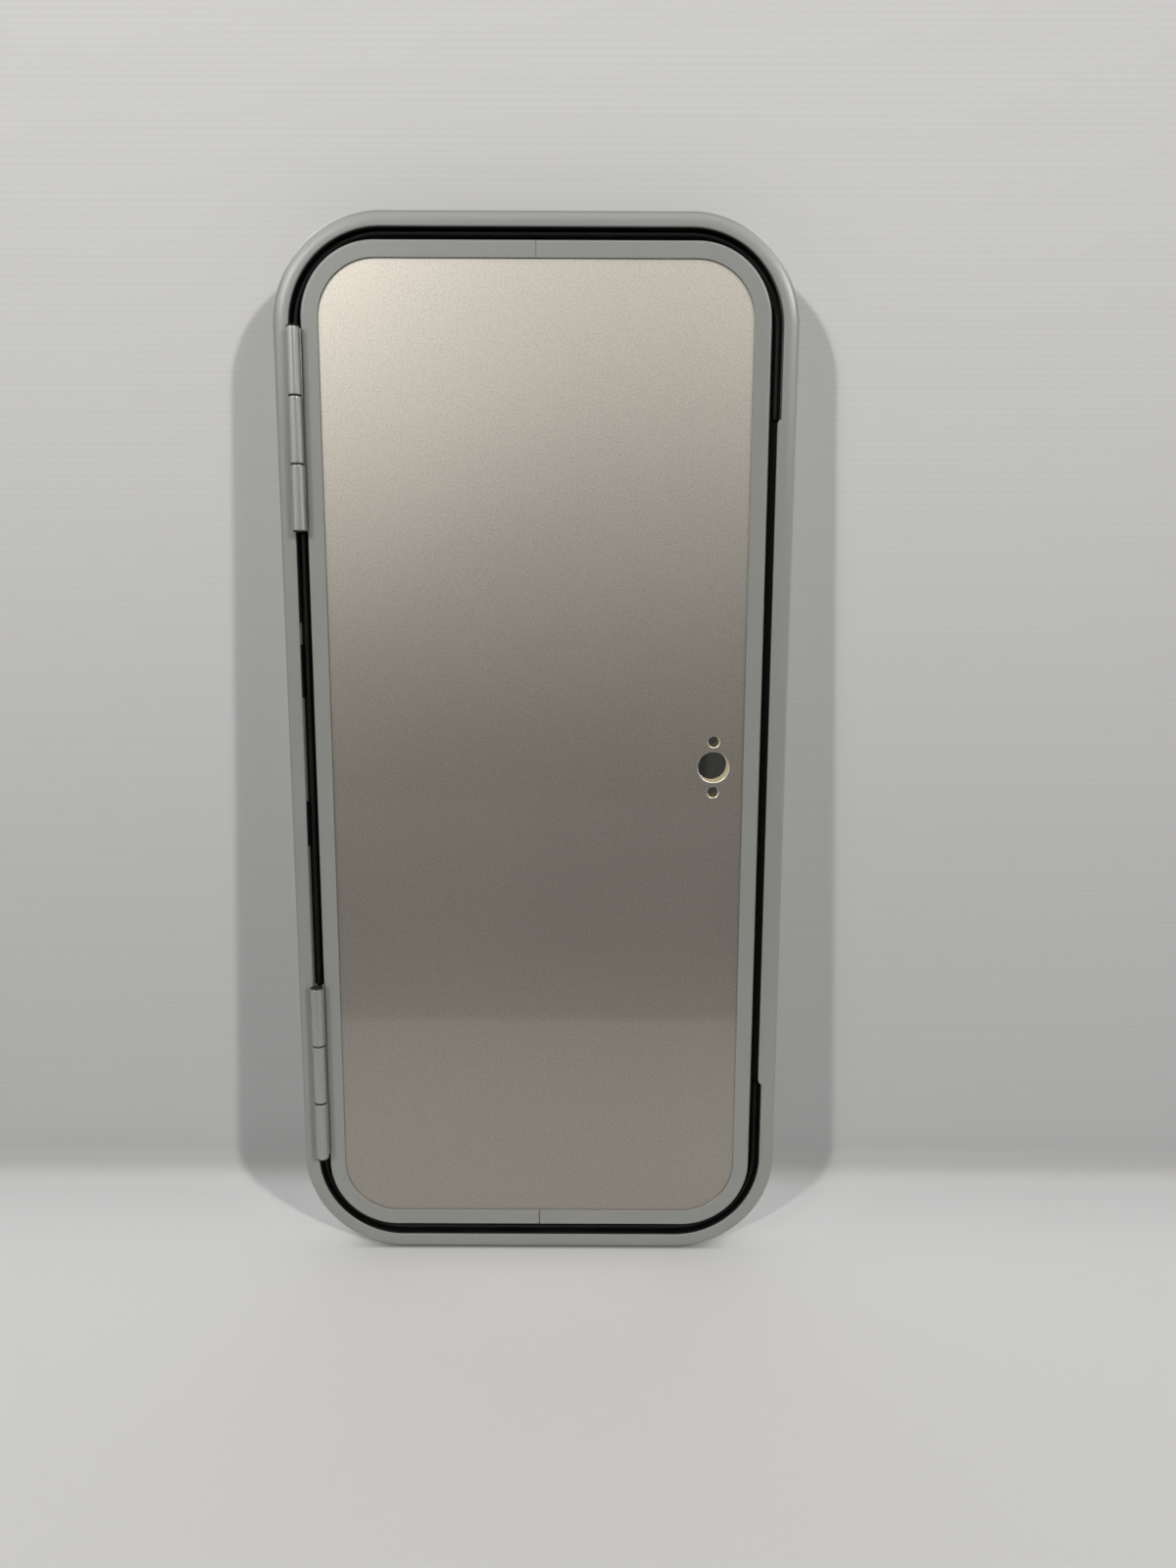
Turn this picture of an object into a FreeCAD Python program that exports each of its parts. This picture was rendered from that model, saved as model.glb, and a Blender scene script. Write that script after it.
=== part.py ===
import FreeCAD, Part
import math
import os
import Sketcher

# Service hatch for a caravan wall
# A bent aluminium frame lines the cut-out in the wall and carries a rubber seal, a strike strip and
# two barrel hinges. The leaf is a foam panel between two sheets, held by an edge profile in two halves.
# Millimetres. +Z is up, +X is to the right seen from outside, and the front faces -Y.
# The origin is the middle of the opening, on the plane where the flange meets the wall.

SIZES = {
    # Outer frame
    "frame_width": 352.0,
    "frame_height": 739.0,
    "frame_corner": 74.0,
    "flange_band": 11.5,
    "flange_thick": 8.0,
    "flange_shoulder": 6.5,
    "flange_lip": 2.5,
    "leg_wall": 2.0,
    "leg_tail": 8.0,
    "ledge_reach": 14.0,
    "ledge_thick": 2.0,
    "stop_gap": 3.0,
    # Fixing holes through the leg, behind the ledge
    "fixing_bore": 4.2,
    "fixing_setback": 4.0,
    "fixing_corner_gap": 55.5,
    "fixing_inner_pitch": 190.0,
    "fixing_across_pitch": 120.0,
    # Leaf edge profile
    "leaf_gap": 8.0,
    "corner_ease": 4.5,
    "leaf_band": 11.5,
    "edge_wall": 1.5,
    "lip_thick": 1.5,
    "edge_round": 1.0,
    "seam_gap": 0.2,
    # Leaf panel
    "outer_skin_thick": 1.0,
    "core_thick": 14.0,
    "inner_skin_thick": 1.0,
    "panel_play": 0.3,
    # Lock cut-out
    "lock_bore": 22.0,
    "lock_inset": 32.5,
    "lock_screw_bore": 8.0,
    "lock_screw_pitch": 36.0,
    # Strike strip
    "strip_length": 474.0,
    "strip_reach": 2.4,
    "strip_thick": 1.6,
    "strip_setback": 0.2,
    "strip_slope": 3.0,
    "strip_fit": 0.05,
    # Seal
    "strip_play": 0.2,
    "seal_lip": 1.0,
    "bulb_play": 1.0,
    "bulb_depth": 8.0,
    "bulb_round": 3.0,
    "seal_play": 1.5,
    "notch_play": 0.5,
    # Hinges
    "hinge_corner_gap": 1.8,
    "knuckle_length": 43.0,
    "knuckle_gap": 1.2,
    "barrel_bore": 5.1,
    "barrel_across": 8.8,
    "barrel_lift": 0.4,
    "pin_play": 0.05,
    "plate_thick": 2.0,
    "plate_depth": 6.7,
    "plate_setback": 0.8,
    "washer_thick": 1.0,
    "cap_thick": 1.0,
    "cap_round": 0.4,
}

# How far a cut runs past the faces that it goes through
OVERRUN = 5.0

# How near to a plane or an outline an edge counts as lying on it
NEAR = 0.001

doc = FreeCAD.newDocument("service_hatch")
sheet = doc.addObject("Spreadsheet::Sheet", "Sizes")
for row, (name, number) in enumerate(SIZES.items(), start=1):
    sheet.set(f"A{row}", name)
    sheet.set(f"B{row}", str(number))
    sheet.setAlias(f"B{row}", name)
doc.recompute()


def inset(outline, distance):
    """An outline moved inwards by a distance, with its corners about the same centres."""
    width, height, radius = outline
    return f"({width} - 2 * {distance})", f"({height} - 2 * {distance})", f"({radius} - {distance})"


# Outlines seen from the front: width, height and corner radius
RIM = ("Sizes.frame_width", "Sizes.frame_height", "Sizes.frame_corner")
FLANK = inset(RIM, "Sizes.flange_band")
LEG_OUTSIDE = inset(FLANK, "(-Sizes.leg_wall)")
LEDGE_INSIDE = inset(FLANK, "Sizes.ledge_reach")
LEAF = inset(FLANK, "Sizes.leaf_gap")
LEAF = (LEAF[0], LEAF[1], f"({LEAF[2]} - Sizes.corner_ease)")
BAND_INSIDE = inset(LEAF, "Sizes.leaf_band")
SLOT = inset(LEAF, "Sizes.edge_wall")
PANEL = inset(SLOT, "Sizes.panel_play")
LIP_INSIDE = inset(FLANK, "Sizes.seal_lip")
BULB_INSIDE = inset(LEAF, "(-Sizes.seal_play)")

# Planes parallel to the wall, from the front to the back
FRONT = "(-Sizes.flange_thick)"
STRIP_FRONT = f"({FRONT} + Sizes.strip_setback)"
STRIP_BACK = f"({STRIP_FRONT} + Sizes.strip_thick)"
SEAL_FRONT = f"({STRIP_BACK} + Sizes.strip_play)"
PLATE_FRONT = f"({FRONT} + Sizes.plate_setback)"
PLATE_BACK = f"({PLATE_FRONT} + Sizes.plate_depth)"
BULB_FRONT = f"({PLATE_BACK} + Sizes.bulb_play)"
BULB_BACK = f"({BULB_FRONT} + Sizes.bulb_depth)"
PANEL_FRONT = f"({FRONT} + Sizes.lip_thick)"
CORE_FRONT = f"({PANEL_FRONT} + Sizes.outer_skin_thick)"
CORE_BACK = f"({CORE_FRONT} + Sizes.core_thick)"
PANEL_BACK = f"({CORE_BACK} + Sizes.inner_skin_thick)"
LEAF_BACK = f"({PANEL_BACK} + Sizes.lip_thick)"
LEDGE_FRONT = f"({LEAF_BACK} + Sizes.stop_gap)"
LEDGE_BACK = f"({LEDGE_FRONT} + Sizes.ledge_thick)"
FIXING_PLANE = f"({LEDGE_BACK} + Sizes.fixing_setback)"
LEG_BACK = f"({LEDGE_BACK} + Sizes.leg_tail)"

# Height at which the straight sides of the frame run into its corners
STRAIGHT_TOP = "(Sizes.frame_height / 2 - Sizes.frame_corner)"

# Lock cut-out
LOCK_X = f"({LEAF[0]} / 2 - Sizes.lock_inset)"

# Hinge axis, lengths along it, and the plates' places across it
AXIS_X = f"(Sizes.leaf_gap / 2 - {FLANK[0]} / 2)"
AXIS_Y = f"({FRONT} - Sizes.barrel_lift - Sizes.barrel_across / 2)"
KNUCKLE_STEP = "(Sizes.knuckle_length + Sizes.knuckle_gap)"
HINGE_LENGTH = f"(2 * {KNUCKLE_STEP} + Sizes.knuckle_length)"
HINGE_MIDDLE = f"({STRAIGHT_TOP} - Sizes.hinge_corner_gap - {HINGE_LENGTH} / 2)"
FRAME_PLATE = (f"(-{FLANK[0]} / 2)", f"(Sizes.plate_thick - {FLANK[0]} / 2)")
LEAF_PLATE = (f"(-{LEAF[0]} / 2 - Sizes.plate_thick)", f"(-{LEAF[0]} / 2)")

nodes = []


def value(expression):
    """The number that an expression has with the sheet's sizes."""
    return float(sheet.evalExpression(expression))


def new_body(label):
    """A new sub-part, whose label names its file."""
    body = doc.addObject("PartDesign::Body", label)
    body.Label = label
    nodes.append(body)
    return body


def new_sketch(body, name, plane, offset):
    """A sketch on one of the body's origin planes, moved along that plane's normal."""
    sketch = body.newObject("Sketcher::SketchObject", f"{body.Label}_{name}_sketch")
    origin_plane = next(item for item in body.Origin.OriginFeatures if item.Role == plane)
    sketch.AttachmentSupport = (origin_plane, [""])
    sketch.MapMode = "FlatFace"
    sketch.setExpression("AttachmentOffset.Base.z", offset)
    return sketch


def front_sketch(body, name, depth):
    """A sketch parallel to the wall, seen from the front, at a depth along +Y."""
    return new_sketch(body, name, "XZ_Plane", f"-{depth}")


def level_sketch(body, name, height):
    """A level sketch, seen from above, at a height along +Z."""
    return new_sketch(body, name, "XY_Plane", height)


def bind(sketch, constraint, name, expression):
    """Adds a named constraint whose value follows an expression."""
    index = sketch.addConstraint(constraint)
    sketch.renameConstraint(index, name)
    sketch.setExpression(f"Constraints.{name}", expression)


def draw_outline(sketch, outline, name):
    """A rounded rectangle about the sketch's origin."""
    width, height, radius = (value(expression) for expression in outline)
    x, z = width / 2, height / 2
    near_x, near_z = x - radius, z - radius
    ends = (
        ((-near_x, -z), (near_x, -z)),
        ((x, -near_z), (x, near_z)),
        ((near_x, z), (-near_x, z)),
        ((-x, near_z), (-x, -near_z)),
    )
    centres = ((near_x, -near_z), (near_x, near_z), (-near_x, near_z), (-near_x, -near_z))
    lines = sketch.addGeometry([
        Part.LineSegment(FreeCAD.Vector(*start), FreeCAD.Vector(*end)) for start, end in ends
    ])
    arcs = sketch.addGeometry([
        Part.ArcOfCircle(
            Part.Circle(FreeCAD.Vector(*centre), FreeCAD.Vector(0, 0, 1), radius),
            math.radians(90 * quarter - 90),
            math.radians(90 * quarter),
        )
        for quarter, centre in enumerate(centres)
    ])
    bottom, right, top, left = lines
    for line, arc, next_line in zip(lines, arcs, lines[1:] + lines[:1]):
        sketch.addConstraint(Sketcher.Constraint("Tangent", line, 2, arc, 1))
        sketch.addConstraint(Sketcher.Constraint("Tangent", arc, 2, next_line, 1))
    for arc in arcs[1:]:
        sketch.addConstraint(Sketcher.Constraint("Equal", arcs[0], arc))
    sketch.addConstraint(Sketcher.Constraint("Horizontal", top))
    sketch.addConstraint(Sketcher.Constraint("Vertical", left))
    sketch.addConstraint(Sketcher.Constraint("Symmetric", bottom, 1, bottom, 2, -2))
    sketch.addConstraint(Sketcher.Constraint("Symmetric", right, 1, right, 2, -1))
    across = Sketcher.Constraint("DistanceX", left, 1, right, 1, width)
    upright = Sketcher.Constraint("DistanceY", bottom, 1, top, 1, height)
    bind(sketch, across, f"{name}_width", outline[0])
    bind(sketch, upright, f"{name}_height", outline[1])
    bind(sketch, Sketcher.Constraint("Radius", arcs[0], radius), f"{name}_radius", outline[2])


def draw_polygon(sketch, points, name):
    """A closed polygon whose corners' coordinates are expressions."""
    places = [FreeCAD.Vector(value(across), value(along)) for across, along in points]
    lines = sketch.addGeometry([
        Part.LineSegment(start, end) for start, end in zip(places, places[1:] + places[:1])
    ])
    for line, next_line in zip(lines, lines[1:] + lines[:1]):
        sketch.addConstraint(Sketcher.Constraint("Coincident", line, 2, next_line, 1))
    for number, (line, place, point) in enumerate(zip(lines, places, points)):
        across = Sketcher.Constraint("DistanceX", -1, 1, line, 1, place.x)
        along = Sketcher.Constraint("DistanceY", -1, 1, line, 1, place.y)
        bind(sketch, across, f"{name}_across_{number}", point[0])
        bind(sketch, along, f"{name}_along_{number}", point[1])


def draw_rectangle(sketch, across, along, name):
    """A rectangle between two places across the sketch and two along it."""
    (left, right), (low, high) = across, along
    draw_polygon(sketch, [(left, low), (right, low), (right, high), (left, high)], name)


def draw_circle(sketch, centre, diameter, name):
    """A circle whose centre and diameter are expressions."""
    place = FreeCAD.Vector(value(centre[0]), value(centre[1]))
    across = value(diameter)
    circle = sketch.addGeometry(Part.Circle(place, FreeCAD.Vector(0, 0, 1), across / 2))
    bind(sketch, Sketcher.Constraint("DistanceX", -1, 1, circle, 3, place.x), f"{name}_across", centre[0])
    bind(sketch, Sketcher.Constraint("DistanceY", -1, 1, circle, 3, place.y), f"{name}_along", centre[1])
    bind(sketch, Sketcher.Constraint("Diameter", circle, across), f"{name}_diameter", diameter)


def pad(body, name, sketch, length):
    """Material from a sketch along its normal."""
    feature = body.newObject("PartDesign::Pad", f"{body.Label}_{name}")
    feature.Profile = sketch
    feature.setExpression("Length", length)
    doc.recompute()
    return feature


def pocket(body, name, sketch, length, both_ways=False):
    """A cut from a sketch against its normal, or to both sides of it."""
    before = body.Shape.Volume
    feature = body.newObject("PartDesign::Pocket", f"{body.Label}_{name}")
    feature.Profile = sketch
    feature.SideType = "Symmetric" if both_ways else "One side"
    feature.setExpression("Length", length)
    doc.recompute()
    if feature.Shape.Volume >= before:
        raise RuntimeError(f"{feature.Label} cuts nothing")
    return feature


def slab(body, name, outlines, front, back):
    """A plate or ring between two planes, from its outer outline and any inner one."""
    sketch = front_sketch(body, name, back)
    for number, outline in enumerate(outlines):
        draw_outline(sketch, outline, f"outline_{number}")
    return pad(body, name, sketch, f"{back} - {front}")


def lies_on(edge, outline, depth):
    """Whether an edge follows an outline at a depth along +Y."""
    width, height, radius = (value(expression) for expression in outline)
    middle = edge.valueAt((edge.FirstParameter + edge.LastParameter) / 2)
    for point in [middle] + [vertex.Point for vertex in edge.Vertexes]:
        beyond_x = max(abs(point.x) - width / 2 + radius, 0.0)
        beyond_z = max(abs(point.z) - height / 2 + radius, 0.0)
        off_outline = math.hypot(beyond_x, beyond_z) - radius
        if abs(off_outline) > NEAR or abs(point.y - value(depth)) > NEAR:
            return False
    return True


def round_edges(body, name, base, places, radius):
    """Rounds the edges that follow the given outlines at the given depths."""
    chosen = [
        f"Edge{number}"
        for number, edge in enumerate(base.Shape.Edges, start=1)
        if any(lies_on(edge, outline, depth) for outline, depth in places)
    ]
    feature = body.newObject("PartDesign::Fillet", f"{body.Label}_{name}")
    feature.Base = (base, chosen)
    feature.setExpression("Radius", radius)
    doc.recompute()
    return feature


def make_outer_frame():
    """Flange on the outside of the wall, leg through it, and the ledge that stops the leaf."""
    body = new_body("outer_frame")
    slab(body, "leg", [LEG_OUTSIDE, FLANK], FRONT, LEG_BACK)
    slab(body, "ledge", [LEG_OUTSIDE, LEDGE_INSIDE], LEDGE_FRONT, LEDGE_BACK)
    flange = slab(body, "flange", [RIM, FLANK], FRONT, "0")
    shoulder = round_edges(body, "shoulder", flange, [(RIM, FRONT)], "Sizes.flange_shoulder")
    round_edges(body, "lip", shoulder, [(FLANK, FRONT)], "Sizes.flange_lip")
    side_sketch = new_sketch(body, "side_fixings", "YZ_Plane", "0")
    outer_height = f"({STRAIGHT_TOP} - Sizes.fixing_corner_gap)"
    inner_height = "(Sizes.fixing_inner_pitch / 2)"
    for pair, height in (("outer", outer_height), ("inner", inner_height)):
        for end, sign in (("high", ""), ("low", "-")):
            centre = (FIXING_PLANE, f"({sign}{height})")
            draw_circle(side_sketch, centre, "Sizes.fixing_bore", f"{pair}_{end}")
    pocket(body, "side_fixings", side_sketch, "Sizes.frame_width", both_ways=True)
    end_sketch = level_sketch(body, "end_fixings", "0")
    for end, sign in (("right", ""), ("left", "-")):
        centre = (f"({sign}Sizes.fixing_across_pitch / 2)", FIXING_PLANE)
        draw_circle(end_sketch, centre, "Sizes.fixing_bore", end)
    pocket(body, "end_fixings", end_sketch, "Sizes.frame_height", both_ways=True)


def make_frame_seal():
    """A lip along the inside of the frame and a soft bulb behind the hinge plates."""
    body = new_body("frame_seal")
    slab(body, "lip", [FLANK, LIP_INSIDE], SEAL_FRONT, BULB_BACK)
    bulb = slab(body, "bulb", [FLANK, BULB_INSIDE], BULB_FRONT, BULB_BACK)
    round_edges(
        body,
        "bulb_round",
        bulb,
        [(BULB_INSIDE, BULB_FRONT), (BULB_INSIDE, BULB_BACK)],
        "min(Sizes.bulb_round; 0.45 * Sizes.bulb_depth)",
    )
    notches = front_sketch(body, "hinge_notches", SEAL_FRONT)
    inner_edge = f"({FRAME_PLATE[0]} + Sizes.seal_lip + Sizes.notch_play)"
    for hinge, sign in (("upper", ""), ("lower", "-")):
        middle = f"({sign}{HINGE_MIDDLE})"
        reach = f"({HINGE_LENGTH} / 2 + Sizes.notch_play)"
        draw_rectangle(
            notches,
            (f"({FRAME_PLATE[0]} - Sizes.notch_play)", inner_edge),
            (f"({middle} - {reach})", f"({middle} + {reach})"),
            hinge,
        )
    pocket(body, "hinge_notches", notches, f"{PLATE_BACK} + Sizes.bulb_play / 2 - {SEAL_FRONT}")


def make_strike_strip():
    """Narrow strip beside the lock, seated on the rounded inner edge of the flange, with sloping ends."""
    body = new_body("strike_strip")
    sketch = front_sketch(body, "strip", STRIP_BACK)
    flank = f"({FLANK[0]} / 2)"
    seat = f"({flank} + Sizes.flange_lip)"
    tip = f"({flank} - Sizes.strip_reach)"
    long_end = "(Sizes.strip_length / 2)"
    short_end = "(Sizes.strip_length / 2 - Sizes.strip_slope)"
    right_side = [(flank, f"-{long_end}"), (seat, f"-{long_end}"), (seat, long_end), (flank, long_end)]
    left_side = [(tip, short_end), (tip, f"-{short_end}")]
    draw_polygon(sketch, right_side + left_side, "strip")
    pad(body, "strip", sketch, "Sizes.strip_thick")
    rounding = level_sketch(body, "flange_rounding", long_end)
    centre = (seat, f"({FRONT} + Sizes.flange_lip)")
    draw_circle(rounding, centre, "2 * (Sizes.flange_lip + Sizes.strip_fit)", "rounding")
    pocket(body, "flange_rounding", rounding, "Sizes.strip_length")


def make_leaf_edge(side, sign):
    """Half of the channel around the panel, from the top joint to the bottom one."""
    body = new_body(f"leaf_edge_{side}")
    ring = slab(body, "ring", [LEAF, BAND_INSIDE], FRONT, LEAF_BACK)
    round_edges(body, "corners", ring, [(LEAF, FRONT), (LEAF, LEAF_BACK)], "Sizes.edge_round")
    slot_sketch = front_sketch(body, "slot", PANEL_FRONT)
    draw_outline(slot_sketch, SLOT, "slot")
    pocket(body, "slot", slot_sketch, f"{PANEL_BACK} - {PANEL_FRONT}")
    half_sketch = front_sketch(body, "other_half", f"({FRONT} - {OVERRUN})")
    joint_face = f"({sign} * Sizes.seam_gap / 2)"
    far_side = f"(-{sign} * ({LEAF[0]} / 2 + {OVERRUN}))"
    top = f"({LEAF[1]} / 2 + {OVERRUN})"
    draw_rectangle(half_sketch, (joint_face, far_side), (f"-{top}", top), "half")
    pocket(body, "other_half", half_sketch, f"{LEAF_BACK} - {FRONT} + 2 * {OVERRUN}")


def make_panel_layer(label, front, back):
    """One layer of the leaf's panel, with the holes for the lock and its two screws."""
    body = new_body(label)
    slab(body, "sheet", [PANEL], front, back)
    holes = front_sketch(body, "lock_holes", front)
    draw_circle(holes, (LOCK_X, "0"), "Sizes.lock_bore", "bore")
    for end, sign in (("upper", ""), ("lower", "-")):
        centre = (LOCK_X, f"({sign}Sizes.lock_screw_pitch / 2)")
        draw_circle(holes, centre, "Sizes.lock_screw_bore", f"{end}_screw")
    pocket(body, "lock_holes", holes, f"{back} - {front}")


def make_hinge_side(label, low, plate, knuckles):
    """A hinge plate with the knuckles that belong to it, bored for the pin."""
    body = new_body(label)
    plate_sketch = level_sketch(body, "plate", low)
    draw_rectangle(plate_sketch, plate, (PLATE_FRONT, PLATE_BACK), "plate")
    pad(body, "plate", plate_sketch, HINGE_LENGTH)
    for knuckle in knuckles:
        start = f"({low} + {knuckle} * {KNUCKLE_STEP})"
        arm_sketch = level_sketch(body, f"arm_{knuckle}", start)
        draw_rectangle(arm_sketch, plate, (AXIS_Y, PLATE_BACK), "arm")
        pad(body, f"arm_{knuckle}", arm_sketch, "Sizes.knuckle_length")
        barrel_sketch = level_sketch(body, f"barrel_{knuckle}", start)
        draw_circle(barrel_sketch, (AXIS_X, AXIS_Y), "Sizes.barrel_across", "barrel")
        pad(body, f"barrel_{knuckle}", barrel_sketch, "Sizes.knuckle_length")
    bore_sketch = level_sketch(body, "bore", f"({low} + {HINGE_LENGTH})")
    draw_circle(bore_sketch, (AXIS_X, AXIS_Y), "Sizes.barrel_bore", "bore")
    pocket(body, "bore", bore_sketch, HINGE_LENGTH)


def make_hinge_pin(label, low):
    """Plain pin through the three knuckles."""
    pin = doc.addObject("Part::Cylinder", label)
    pin.Label = label
    pin.setExpression("Radius", "Sizes.barrel_bore / 2 - Sizes.pin_play")
    pin.setExpression("Height", HINGE_LENGTH)
    pin.setExpression("Placement.Base.x", AXIS_X)
    pin.setExpression("Placement.Base.y", AXIS_Y)
    pin.setExpression("Placement.Base.z", low)
    nodes.append(pin)


def make_hinge_washer(label, start):
    """Washer on the pin, lying on a knuckle of the frame."""
    body = new_body(label)
    sketch = level_sketch(body, "ring", start)
    draw_circle(sketch, (AXIS_X, AXIS_Y), "Sizes.barrel_across", "outside")
    draw_circle(sketch, (AXIS_X, AXIS_Y), "Sizes.barrel_bore", "bore")
    pad(body, "ring", sketch, "Sizes.washer_thick")


def make_hinge_cap(label, start, outer_face):
    """Cap over the end of a barrel, rounded at its outer face."""
    body = new_body(label)
    sketch = level_sketch(body, "disc", start)
    draw_circle(sketch, (AXIS_X, AXIS_Y), "Sizes.barrel_across", "disc")
    disc = pad(body, "disc", sketch, "Sizes.cap_thick")
    level = value(outer_face)
    chosen = [
        f"Edge{number}"
        for number, edge in enumerate(disc.Shape.Edges, start=1)
        if all(abs(vertex.Z - level) < NEAR for vertex in edge.Vertexes)
    ]
    fillet = body.newObject("PartDesign::Fillet", f"{label}_round")
    fillet.Base = (disc, chosen)
    fillet.setExpression("Radius", "min(Sizes.cap_round; 0.9 * Sizes.cap_thick)")


def make_hinge(name, sign):
    """One barrel hinge: two knuckles on the frame, one on the leaf between them."""
    low = f"({sign}{HINGE_MIDDLE} - {HINGE_LENGTH} / 2)"
    high = f"({low} + {HINGE_LENGTH})"
    make_hinge_side(f"{name}_hinge_frame_plate", low, FRAME_PLATE, knuckles=(0, 2))
    make_hinge_side(f"{name}_hinge_leaf_plate", low, LEAF_PLATE, knuckles=(1,))
    make_hinge_pin(f"{name}_hinge_pin", low)
    lower_seat = f"({low} + Sizes.knuckle_length)"
    upper_seat = f"({high} - Sizes.knuckle_length)"
    make_hinge_washer(f"{name}_hinge_washer_bottom", lower_seat)
    make_hinge_washer(f"{name}_hinge_washer_top", f"({upper_seat} - Sizes.washer_thick)")
    bottom_face = f"({low} - Sizes.cap_thick)"
    make_hinge_cap(f"{name}_hinge_cap_bottom", bottom_face, bottom_face)
    make_hinge_cap(f"{name}_hinge_cap_top", high, f"({high} + Sizes.cap_thick)")


def check_document():
    """Stops if any object failed or any sub-part has no valid solid."""
    for item in doc.Objects:
        if "Invalid" in item.State or "Error" in item.State:
            raise RuntimeError(f"{item.Label} failed: {item.State}")
    for node in nodes:
        if node.Shape.isNull() or not node.Shape.isValid() or not node.Shape.Solids:
            raise RuntimeError(f"{node.Label} has no valid solid")


make_outer_frame()
make_frame_seal()
make_strike_strip()
make_leaf_edge("left", -1)
make_leaf_edge("right", 1)
make_panel_layer("outer_skin", PANEL_FRONT, CORE_FRONT)
make_panel_layer("foam_core", CORE_FRONT, CORE_BACK)
make_panel_layer("inner_skin", CORE_BACK, PANEL_BACK)
make_hinge("upper", "")
make_hinge("lower", "-")
doc.recompute()
check_document()

os.makedirs("parts", exist_ok=True)
for node in nodes:
    node.Shape.exportStep(f"parts/{node.Label}.step")
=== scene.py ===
import math
import bmesh
import bpy
from mathutils import Matrix, Vector, noise


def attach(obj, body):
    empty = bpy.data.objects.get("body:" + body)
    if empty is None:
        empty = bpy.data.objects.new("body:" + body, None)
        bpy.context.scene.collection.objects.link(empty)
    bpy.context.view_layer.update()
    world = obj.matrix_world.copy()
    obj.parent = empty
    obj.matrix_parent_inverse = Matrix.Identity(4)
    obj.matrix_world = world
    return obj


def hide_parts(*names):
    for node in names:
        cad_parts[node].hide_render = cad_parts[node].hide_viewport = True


# Service hatch for a caravan wall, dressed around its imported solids
# Metres. +Z is up, +X is to the right seen from outside, and the front faces -Y.

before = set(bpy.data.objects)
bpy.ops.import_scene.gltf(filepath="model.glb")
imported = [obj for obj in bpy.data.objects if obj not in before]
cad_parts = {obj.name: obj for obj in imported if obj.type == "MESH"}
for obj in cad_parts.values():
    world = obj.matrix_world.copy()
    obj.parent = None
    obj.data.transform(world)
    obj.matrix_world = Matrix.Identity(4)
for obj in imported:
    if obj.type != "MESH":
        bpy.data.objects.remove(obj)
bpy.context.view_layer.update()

MM = 0.001
ALL_ROUND = 2 * math.pi

# Outlines seen from the front: half width, half height and corner radius
FLANK = (164.5 * MM, 358.0 * MM, 62.5 * MM)
LEAF = (156.5 * MM, 350.0 * MM, 50.0 * MM)
PANEL = (154.7 * MM, 348.2 * MM, 48.2 * MM)
CORNER_STEPS = 40
LEAF_SEAM = 0.2 * MM

# Planes parallel to the wall, in millimetres
FRONT = -8.0
LIP_BACK = -6.5
CORE_FRONT = -5.5
CORE_BACK = 8.5
PANEL_BACK = 9.5
LEAF_BACK = 11.0

# Sections in millimetres: distance outwards from the outline, depth along +Y, and corner rounding
FRAME_SECTION = (
    (11.5, 0.0, 0.3),
    (10.6, -5.2, 0.5),
    (9.3, -6.8, 3.5),
    (4.5, FRONT, 18.0),
    (0.0, FRONT, 0.8),
    (0.0, 14.0, 0.6),
    (-14.0, 14.0, 0.6),
    (-14.0, 16.0, 0.6),
    (0.0, 16.0, 0.6),
    (0.0, 24.0, 0.5),
    (2.0, 24.0, 0.5),
    (2.0, 0.0, 0.8),
)
EDGE_SECTION = (
    (0.0, FRONT, 1.8),
    (0.0, LEAF_BACK, 1.0),
    (-11.5, LEAF_BACK, 0.35),
    (-11.5, PANEL_BACK, 0.3),
    (-1.5, PANEL_BACK, 0.4),
    (-1.5, LIP_BACK, 0.4),
    (-11.5, LIP_BACK, 0.3),
    (-11.5, FRONT, 0.35),
)
SEAL_SECTION = (
    (0.0, -7.2, 0.2),
    (-0.9, -7.2, 0.4),
    (-0.9, -0.6, 0.05),
    (-1.5, -0.6, 0.05),
    (-1.5, -3.6, 1.6),
    (-5.4, -3.6, 1.9),
    (-5.4, 8.5, 2.6),
    (0.0, 8.5, 0.3),
)

# Lock cut-out: place across the leaf, bores, height of the screw holes, then each hole with its steps
LOCK_X = 124.0 * MM
LOCK_BORE = 11.0 * MM
LOCK_SCREW_BORE = 4.0 * MM
LOCK_SCREW_RISE = 18.0 * MM
LOCK_HOLES = (
    (0.0, LOCK_BORE, 96),
    (LOCK_SCREW_RISE, LOCK_SCREW_BORE, 56),
    (-LOCK_SCREW_RISE, LOCK_SCREW_BORE, 56),
)

# Hinges: axis, barrel, knuckles and plates
AXIS = (-160.5 * MM, -12.8 * MM)
BARREL_RADIUS = 4.4 * MM
PIN_BORE = 2.55 * MM
KNUCKLE = 43.0 * MM
KNUCKLE_STEP = 44.2 * MM
HINGE_LENGTH = 131.4 * MM
HINGE_MIDDLES = {"upper": 228.0 * MM, "lower": -228.0 * MM}
PLATE_DEPTH = (-7.2 * MM, -0.5 * MM)
FRAME_PLATE = (-164.5 * MM, -162.5 * MM)
LEAF_PLATE = (-158.5 * MM, -156.5 * MM)
SCREW_PITCH = 45.0 * MM
SCREWS_A_PLATE = 3

STRIP_HALF_LENGTH = 237.0 * MM

# Rounded corners of sections: angle of a step on small and large ones, and the flat kept beside them
SMALL_ROUNDING = 1.0
SMALL_STEP = 0.32
LARGE_STEP = 0.16
FLAT_MARGIN = 0.4
FLAT_SHARE = 0.25

MERGE_DISTANCE = 0.002 * MM
SHARP_TURN = 35.0


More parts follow.
